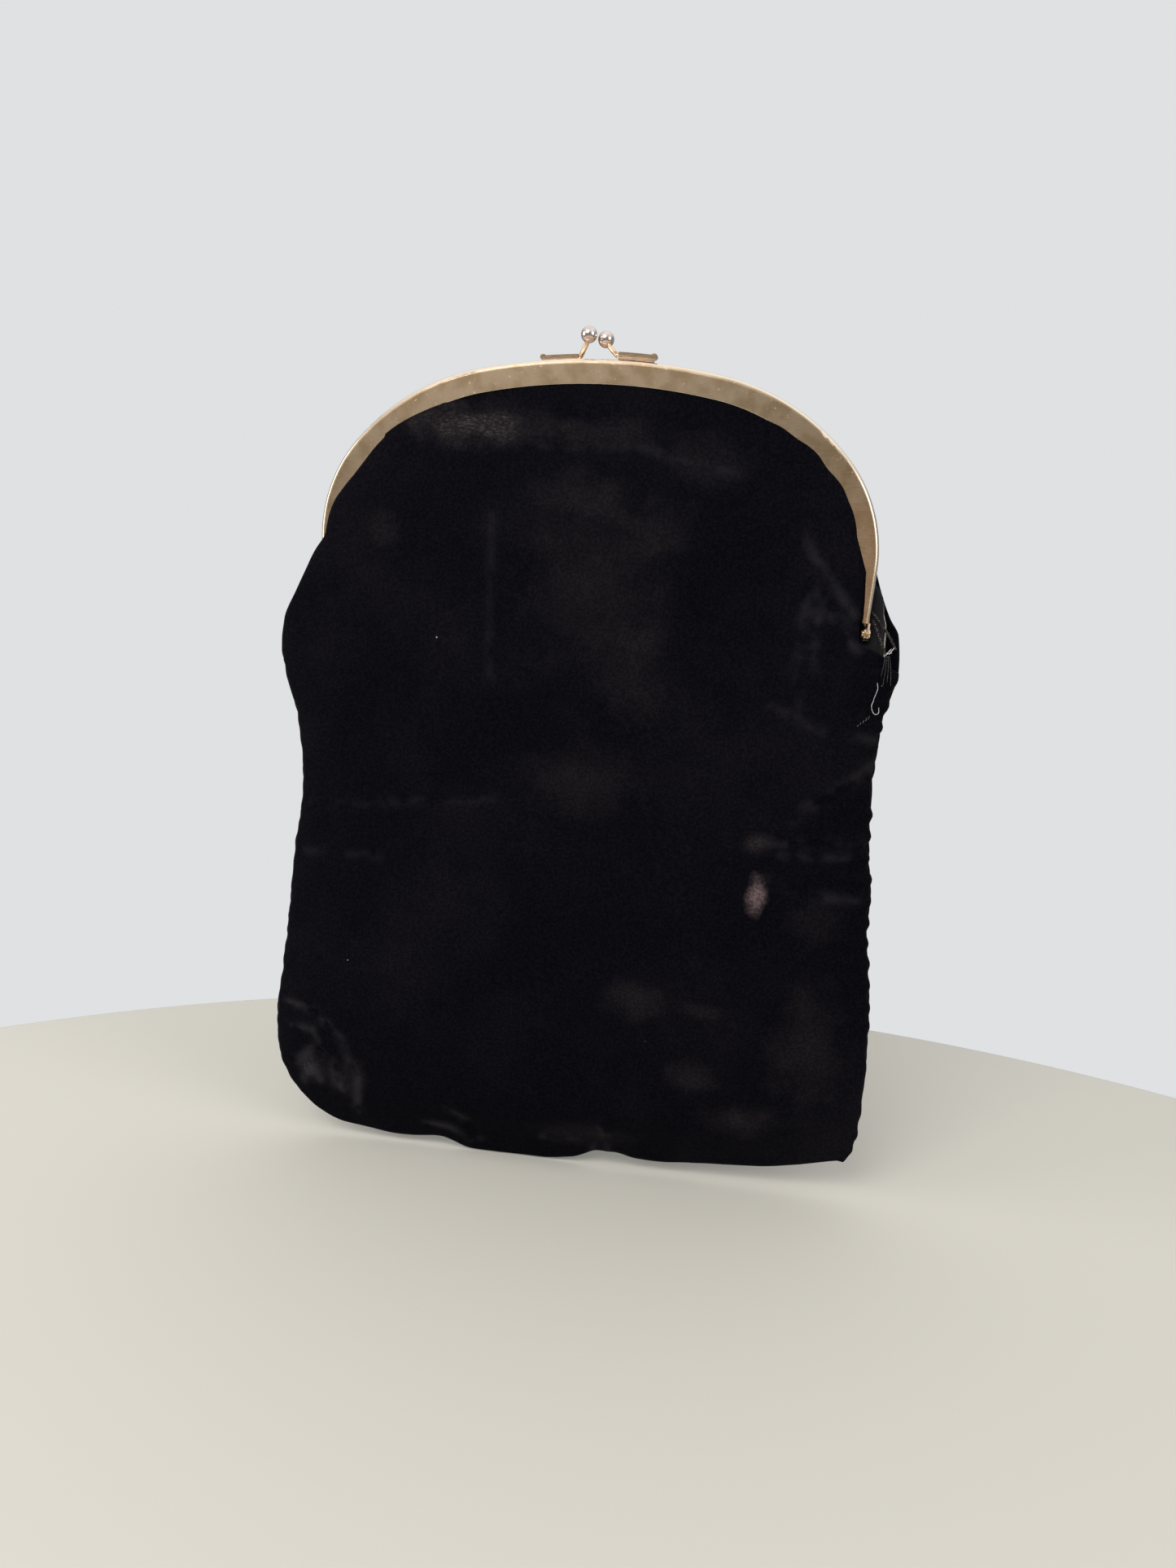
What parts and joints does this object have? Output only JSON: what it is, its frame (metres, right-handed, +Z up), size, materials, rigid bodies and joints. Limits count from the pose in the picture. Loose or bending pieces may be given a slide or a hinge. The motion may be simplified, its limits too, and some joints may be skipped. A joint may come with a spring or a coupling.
{
  "type": "evening bag",
  "caption": "Soft black velvet evening bag on an arched gilt frame; the two frame halves swing open on side rivets and snap shut with a ball clasp.",
  "frame": {"origin": "middle of the bag's bottom, under the frame's parting plane", "axes": "+X to the right seen from the front, +Y from front to back, +Z up to the clasp"},
  "size_m": [0.195, 0.022, 0.2659],
  "materials": {
    "frame_gilt": "satin gilt brass, brushed face, polished worn rim",
    "rivet_gilt": "domed gilt brass rivet head",
    "clasp_gilt": "polished rose gilt, worn on the edges",
    "ball_plate": "polished silvery plate worn to rose metal",
    "paper_cord": "twisted brown paper cord",
    "black_velvet": "short-pile black velvet with crushed and worn patches",
    "satin_lining": "black satin lining",
    "interlining": "unbleached canvas interlining",
    "bound_edge": "overcast velvet edge",
    "sewing_thread": "grey cotton sewing thread"
  },
  "bodies": {
    "pouch": {"front_velvet_panel": "black_velvet", "rear_velvet_panel": "black_velvet", "front_interlining": "interlining", "rear_interlining": "interlining", "front_lining": "satin_lining", "rear_lining": "satin_lining", "slip_pocket": "satin_lining", "left_edge_bindings": "bound_edge", "right_edge_bindings": "bound_edge", "tack_threads": "sewing_thread", "seam_stitches": "sewing_thread"},
    "front_frame_half": {"front_frame": "frame_gilt", "left_hinge_rivet": "rivet_gilt", "right_hinge_rivet": "rivet_gilt", "front_clasp_arm": "clasp_gilt", "front_clasp_ball": "ball_plate", "front_crimp_cord": "paper_cord", "front_velvet_yoke": "black_velvet", "front_lining_yoke": "satin_lining"},
    "rear_frame_half": {"rear_frame": "frame_gilt", "rear_clasp_arm": "clasp_gilt", "rear_clasp_ball": "ball_plate", "rear_crimp_cord": "paper_cord", "rear_velvet_yoke": "black_velvet", "rear_lining_yoke": "satin_lining"}
  },
  "joints": [
    {"name": "front_half_swing", "type": "hinge", "parent": "pouch", "child": "front_frame_half", "pos_m": [0, 0, 0.1804], "axis": [1, 0, 0], "range_deg": [0, 45]},
    {"name": "rear_half_swing", "type": "hinge", "parent": "pouch", "child": "rear_frame_half", "pos_m": [0, 0, 0.1804], "axis": [1, 0, 0], "range_deg": [-45, 0]}
  ],
  "couplings": [
    {"joint": "rear_half_swing", "follows": "front_half_swing", "ratio": -1}
  ]
}
